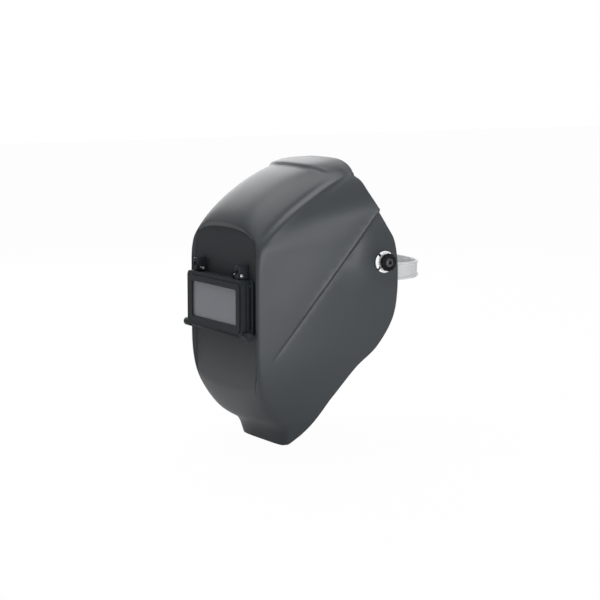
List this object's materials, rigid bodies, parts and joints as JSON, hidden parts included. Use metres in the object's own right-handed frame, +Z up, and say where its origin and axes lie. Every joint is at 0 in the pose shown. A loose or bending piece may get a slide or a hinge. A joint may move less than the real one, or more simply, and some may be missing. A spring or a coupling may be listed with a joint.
{
  "type": "welding helmet",
  "caption": "Lift-front welding helmet: moulded shell tilting on a pin-lock headgear, hinged lens holder with plates, and side tension knobs.",
  "frame": {"origin": "midpoint of the tilt axis between the two side pivots, in the middle of the wearer's head", "axes": "+Z up, -Y towards the front of the helmet, +X towards the wearer's left side"},
  "size_m": [0.235, 0.253, 0.3215],
  "materials": {
    "shell_grey": "satin slate-grey thermoplastic",
    "holder_black": "satin black plastic",
    "knob_black": "black plastic",
    "white_nylon": "white nylon",
    "band_plastic": "translucent white band",
    "sweat_foam": "soft dark foam",
    "bright_steel": "bright plated steel",
    "spring_steel": "dark spring steel",
    "clear_plate": "clear cover plate",
    "filter_glass": "dark filter glass",
    "gasket_rubber": "black rubber"
  },
  "bodies": {
    "headgear": {"brow_band": "band_plastic", "crown_peg": "knob_black", "crown_strap_left": "band_plastic", "crown_strap_right": "band_plastic", "pivot_arm_left": "band_plastic", "pivot_arm_right": "band_plastic", "pivot_bush_left": "white_nylon", "pivot_bush_right": "white_nylon", "pivot_seal_left": "gasket_rubber", "pivot_seal_right": "gasket_rubber", "pivot_stud_left": "bright_steel", "pivot_stud_right": "bright_steel", "pivot_washer_left": "gasket_rubber", "pivot_washer_right": "gasket_rubber", "strap_rivet_left": "bright_steel", "strap_rivet_right": "bright_steel", "sweatband": "sweat_foam"},
    "shell": {"bracket_rivet_left": "bright_steel", "bracket_rivet_right": "bright_steel", "fixed_frame": "holder_black", "frame_rivet_low_left": "bright_steel", "frame_rivet_low_right": "bright_steel", "frame_rivet_top_left": "bright_steel", "frame_rivet_top_right": "bright_steel", "hinge_bracket_left": "holder_black", "hinge_bracket_right": "holder_black", "hinge_pin_left": "bright_steel", "hinge_pin_right": "bright_steel", "safety_plate": "clear_plate", "shell": "shell_grey", "torsion_spring_left": "spring_steel", "torsion_spring_right": "spring_steel"},
    "lift_front": {"lift_frame": "holder_black", "cover_plate": "clear_plate", "filter_plate": "filter_glass", "lens_gasket": "gasket_rubber", "plate_retainer": "spring_steel"},
    "knob_left": {"tension_knob_left": "knob_black"},
    "knob_right": {"tension_knob_right": "knob_black"},
    "nape_band": {"nape_band": "band_plastic", "nape_peg_left": "band_plastic", "nape_peg_right": "band_plastic"}
  },
  "joints": [
    {"name": "helmet_tilt", "type": "hinge", "parent": "headgear", "child": "shell", "pos_m": [0, 0, 0], "axis": [-1, 0, 0], "range_deg": [0, 75]},
    {"name": "lift_front_hinge", "type": "hinge", "parent": "shell", "child": "lift_front", "pos_m": [0, -0.1527, -0.0115], "axis": [-1, 0, 0], "range_deg": [0, 95], "deforming": ["torsion_spring_left", "torsion_spring_right"]},
    {"name": "knob_left_turn", "type": "hinge", "parent": "headgear", "child": "knob_left", "pos_m": [0.11, 0, 0], "axis": [1, 0, 0], "continuous": true},
    {"name": "knob_right_turn", "type": "hinge", "parent": "headgear", "child": "knob_right", "pos_m": [-0.11, 0, 0], "axis": [-1, 0, 0], "continuous": true},
    {"name": "nape_band_slide", "type": "slide", "parent": "headgear", "child": "nape_band", "axis": [0, 1, 0], "range_m": [-0.005, 0.014]}
  ]
}
